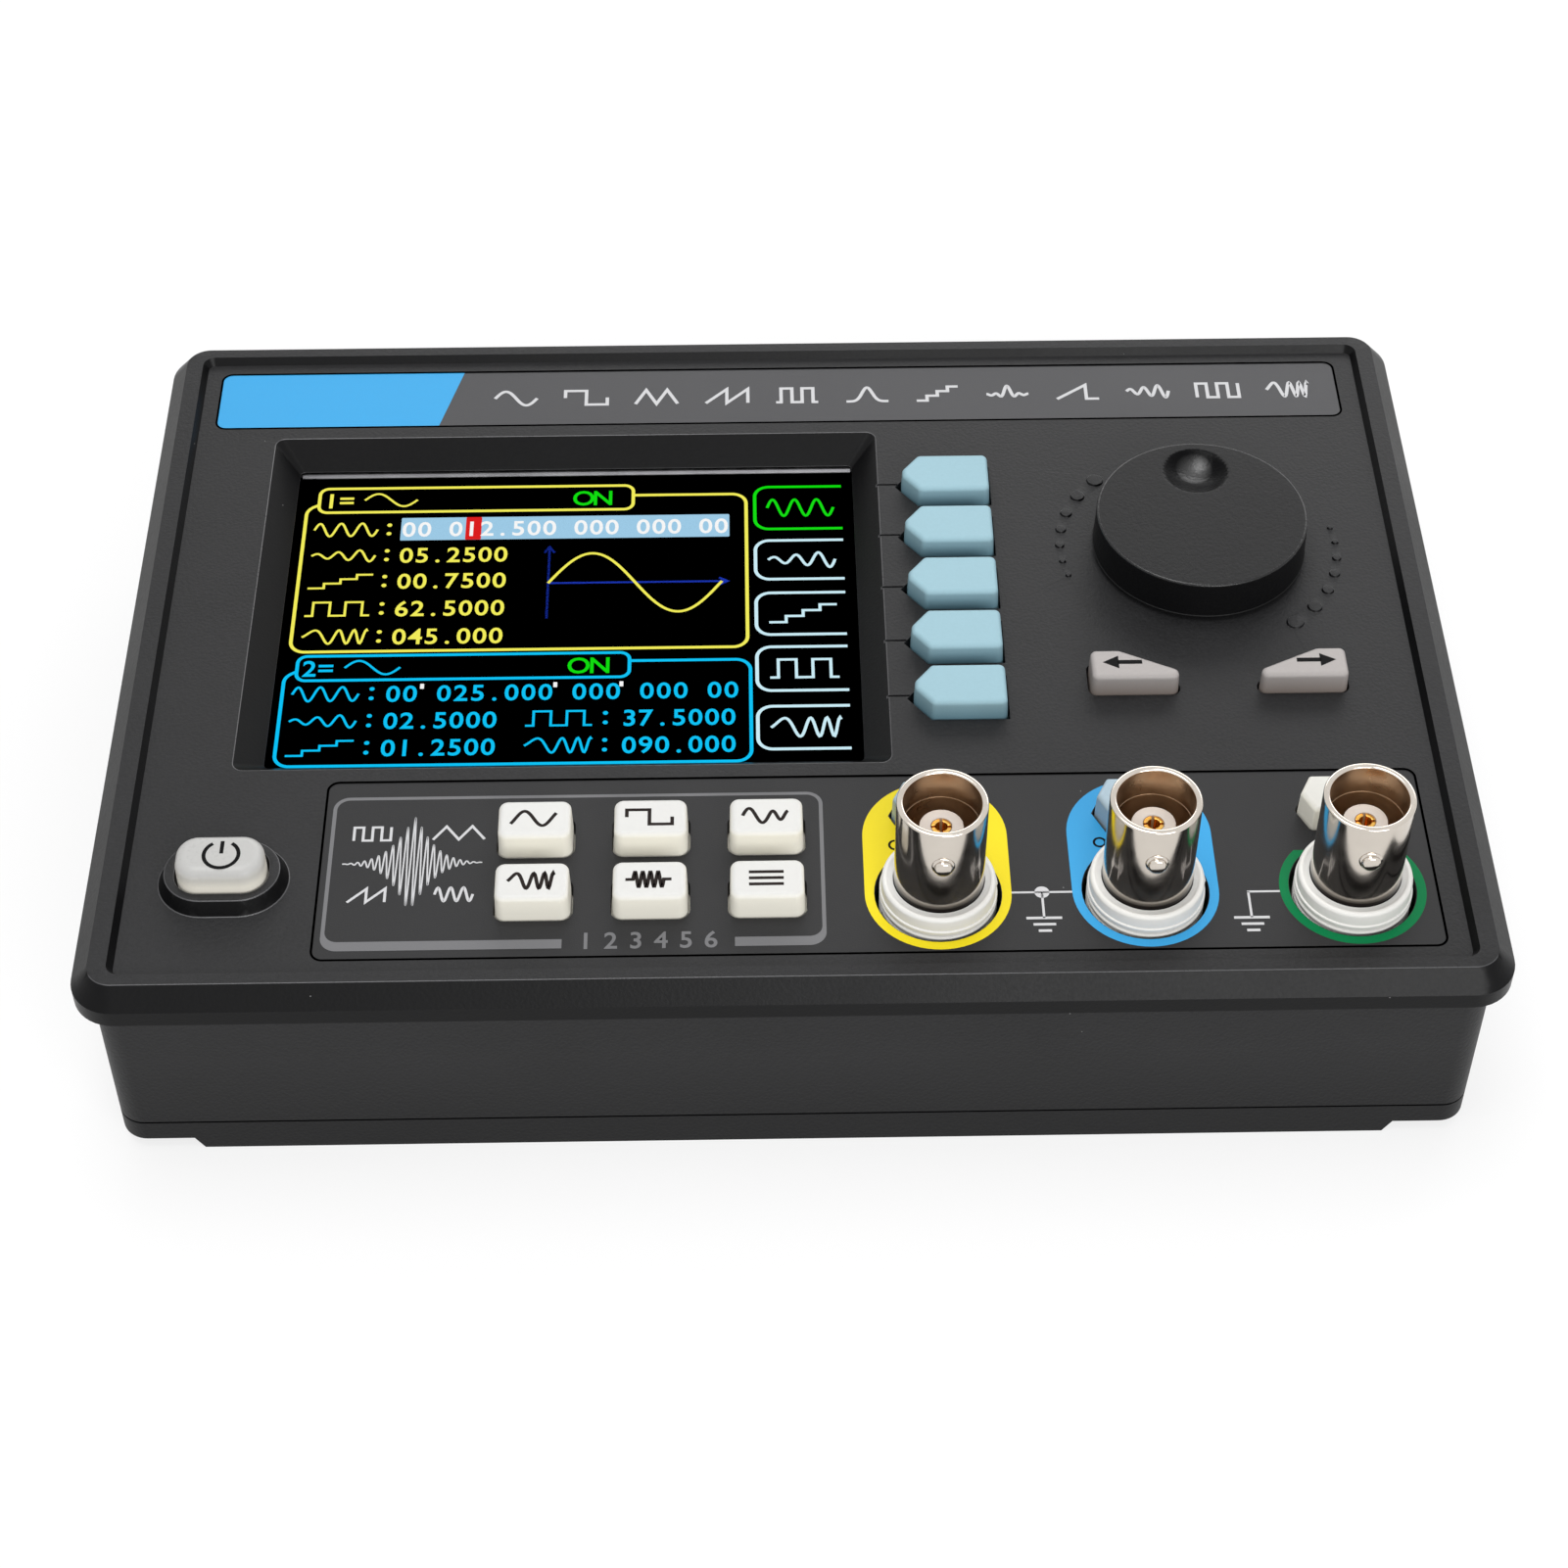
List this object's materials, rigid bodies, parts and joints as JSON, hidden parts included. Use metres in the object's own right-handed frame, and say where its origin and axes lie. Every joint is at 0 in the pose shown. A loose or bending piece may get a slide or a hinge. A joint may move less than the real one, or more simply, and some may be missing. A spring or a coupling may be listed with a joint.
{
  "type": "function generator",
  "caption": "Bench function generator lying on its back: screen, soft keys, dial, push keys and coaxial bayonet sockets on a dark panel.",
  "frame": {"origin": "centre of the footprint, on the surface that the back cover's plateau rests on", "axes": "+Z out of the panel (up as it lies), +X to the panel's right, +Y to the panel's top edge"},
  "size_m": [0.152, 0.1062, 0.0418],
  "materials": {
    "case_plastic": "fine-textured dark grey moulding",
    "knob_plastic": "smooth satin dark grey moulding",
    "header_film": "printed grey film with a blue end",
    "panel_film": "printed dark film",
    "key_white": "satin white",
    "key_warm_grey": "satin warm grey",
    "key_translucent": "translucent grey-blue",
    "power_white": "translucent white",
    "key_blue": "pale blue silicone",
    "nickel": "bright nickel plate",
    "socket_white": "moulded white nylon",
    "dielectric_white": "white fluoropolymer",
    "gold": "gold plate",
    "board_green": "solder mask",
    "component_black": "moulded black",
    "steel": "zinc-plated steel",
    "display": "colour display behind glass",
    "foam": "black foam",
    "silicone": "grey silicone",
    "plunger_plastic": "black switch plunger"
  },
  "bodies": {
    "case": {"front_case": "case_plastic", "back_cover": "case_plastic", "back_cover_screws": "steel", "main_board": "board_green", "board_components": "component_black", "board_screws": "steel", "lcd_frame": "steel", "lcd_panel": "display", "lcd_pads": "foam", "tact_switches": "component_black", "soft_key_mat": "silicone", "encoder_body": "component_black", "header_label": "header_film", "lower_label": "panel_film", "dc_jack": "component_black", "usb_socket": "component_black", "bnc_1_barrel": "nickel", "bnc_1_base": "socket_white", "bnc_1_dielectric": "dielectric_white", "bnc_1_contact": "gold", "bnc_2_barrel": "nickel", "bnc_2_base": "socket_white", "bnc_2_dielectric": "dielectric_white", "bnc_2_contact": "gold", "bnc_3_barrel": "nickel", "bnc_3_base": "socket_white", "bnc_3_dielectric": "dielectric_white", "bnc_3_contact": "gold"},
    "function_key_1": {"function_key_1": "key_white", "function_key_1_plunger": "plunger_plastic"},
    "function_key_2": {"function_key_2": "key_white", "function_key_2_plunger": "plunger_plastic"},
    "function_key_3": {"function_key_3": "key_white", "function_key_3_plunger": "plunger_plastic"},
    "function_key_4": {"function_key_4": "key_white", "function_key_4_plunger": "plunger_plastic"},
    "function_key_5": {"function_key_5": "key_white", "function_key_5_plunger": "plunger_plastic"},
    "function_key_6": {"function_key_6": "key_white", "function_key_6_plunger": "plunger_plastic"},
    "arrow_key_left": {"arrow_key_left": "key_warm_grey", "arrow_key_left_plunger": "plunger_plastic"},
    "arrow_key_right": {"arrow_key_right": "key_warm_grey", "arrow_key_right_plunger": "plunger_plastic"},
    "channel_key_1": {"channel_key_1": "key_translucent", "channel_key_1_plunger": "plunger_plastic"},
    "channel_key_2": {"channel_key_2": "key_translucent", "channel_key_2_plunger": "plunger_plastic"},
    "channel_key_3": {"channel_key_3": "key_white", "channel_key_3_plunger": "plunger_plastic"},
    "power_button": {"power_button": "power_white", "power_button_plunger": "plunger_plastic"},
    "soft_key_1": {"soft_key_1": "key_blue"},
    "soft_key_2": {"soft_key_2": "key_blue"},
    "soft_key_3": {"soft_key_3": "key_blue"},
    "soft_key_4": {"soft_key_4": "key_blue"},
    "soft_key_5": {"soft_key_5": "key_blue"},
    "encoder_push": {"encoder_plunger": "plunger_plastic"},
    "knob": {"knob": "knob_plastic", "encoder_shaft": "steel"}
  },
  "joints": [
    {"name": "function_key_1_press", "type": "slide", "parent": "case", "child": "function_key_1", "axis": [0, 0, -1], "range_m": [0, 0.0003], "stiffness_N_per_m": 300, "springref_m": -0.001},
    {"name": "function_key_2_press", "type": "slide", "parent": "case", "child": "function_key_2", "axis": [0, 0, -1], "range_m": [0, 0.0003], "stiffness_N_per_m": 300, "springref_m": -0.001},
    {"name": "function_key_3_press", "type": "slide", "parent": "case", "child": "function_key_3", "axis": [0, 0, -1], "range_m": [0, 0.0003], "stiffness_N_per_m": 300, "springref_m": -0.001},
    {"name": "function_key_4_press", "type": "slide", "parent": "case", "child": "function_key_4", "axis": [0, 0, -1], "range_m": [0, 0.0003], "stiffness_N_per_m": 300, "springref_m": -0.001},
    {"name": "function_key_5_press", "type": "slide", "parent": "case", "child": "function_key_5", "axis": [0, 0, -1], "range_m": [0, 0.0003], "stiffness_N_per_m": 300, "springref_m": -0.001},
    {"name": "function_key_6_press", "type": "slide", "parent": "case", "child": "function_key_6", "axis": [0, 0, -1], "range_m": [0, 0.0003], "stiffness_N_per_m": 300, "springref_m": -0.001},
    {"name": "arrow_key_left_press", "type": "slide", "parent": "case", "child": "arrow_key_left", "axis": [0, 0, -1], "range_m": [0, 0.0003], "stiffness_N_per_m": 300, "springref_m": -0.001},
    {"name": "arrow_key_right_press", "type": "slide", "parent": "case", "child": "arrow_key_right", "axis": [0, 0, -1], "range_m": [0, 0.0003], "stiffness_N_per_m": 300, "springref_m": -0.001},
    {"name": "channel_key_1_press", "type": "slide", "parent": "case", "child": "channel_key_1", "axis": [0, 0, -1], "range_m": [0, 0.0003], "stiffness_N_per_m": 300, "springref_m": -0.001},
    {"name": "channel_key_2_press", "type": "slide", "parent": "case", "child": "channel_key_2", "axis": [0, 0, -1], "range_m": [0, 0.0003], "stiffness_N_per_m": 300, "springref_m": -0.001},
    {"name": "channel_key_3_press", "type": "slide", "parent": "case", "child": "channel_key_3", "axis": [0, 0, -1], "range_m": [0, 0.0003], "stiffness_N_per_m": 300, "springref_m": -0.001},
    {"name": "power_button_press", "type": "slide", "parent": "case", "child": "power_button", "axis": [0, 0, -1], "range_m": [0, 0.0003], "stiffness_N_per_m": 300, "springref_m": -0.001},
    {"name": "soft_key_1_press", "type": "slide", "parent": "case", "child": "soft_key_1", "axis": [0, 0, -1], "range_m": [0, 0.001], "stiffness_N_per_m": 300, "springref_m": -0.001},
    {"name": "soft_key_2_press", "type": "slide", "parent": "case", "child": "soft_key_2", "axis": [0, 0, -1], "range_m": [0, 0.001], "stiffness_N_per_m": 300, "springref_m": -0.001},
    {"name": "soft_key_3_press", "type": "slide", "parent": "case", "child": "soft_key_3", "axis": [0, 0, -1], "range_m": [0, 0.001], "stiffness_N_per_m": 300, "springref_m": -0.001},
    {"name": "soft_key_4_press", "type": "slide", "parent": "case", "child": "soft_key_4", "axis": [0, 0, -1], "range_m": [0, 0.001], "stiffness_N_per_m": 300, "springref_m": -0.001},
    {"name": "soft_key_5_press", "type": "slide", "parent": "case", "child": "soft_key_5", "axis": [0, 0, -1], "range_m": [0, 0.001], "stiffness_N_per_m": 300, "springref_m": -0.001},
    {"name": "encoder_press", "type": "slide", "parent": "case", "child": "encoder_push", "axis": [0, 0, -1], "range_m": [0, 0.0005], "stiffness_N_per_m": 600, "springref_m": -0.001},
    {"name": "knob_turn", "type": "hinge", "parent": "encoder_push", "child": "knob", "pos_m": [0.0488, 0.014, 0.0274], "axis": [0, 0, 1], "continuous": true}
  ]
}
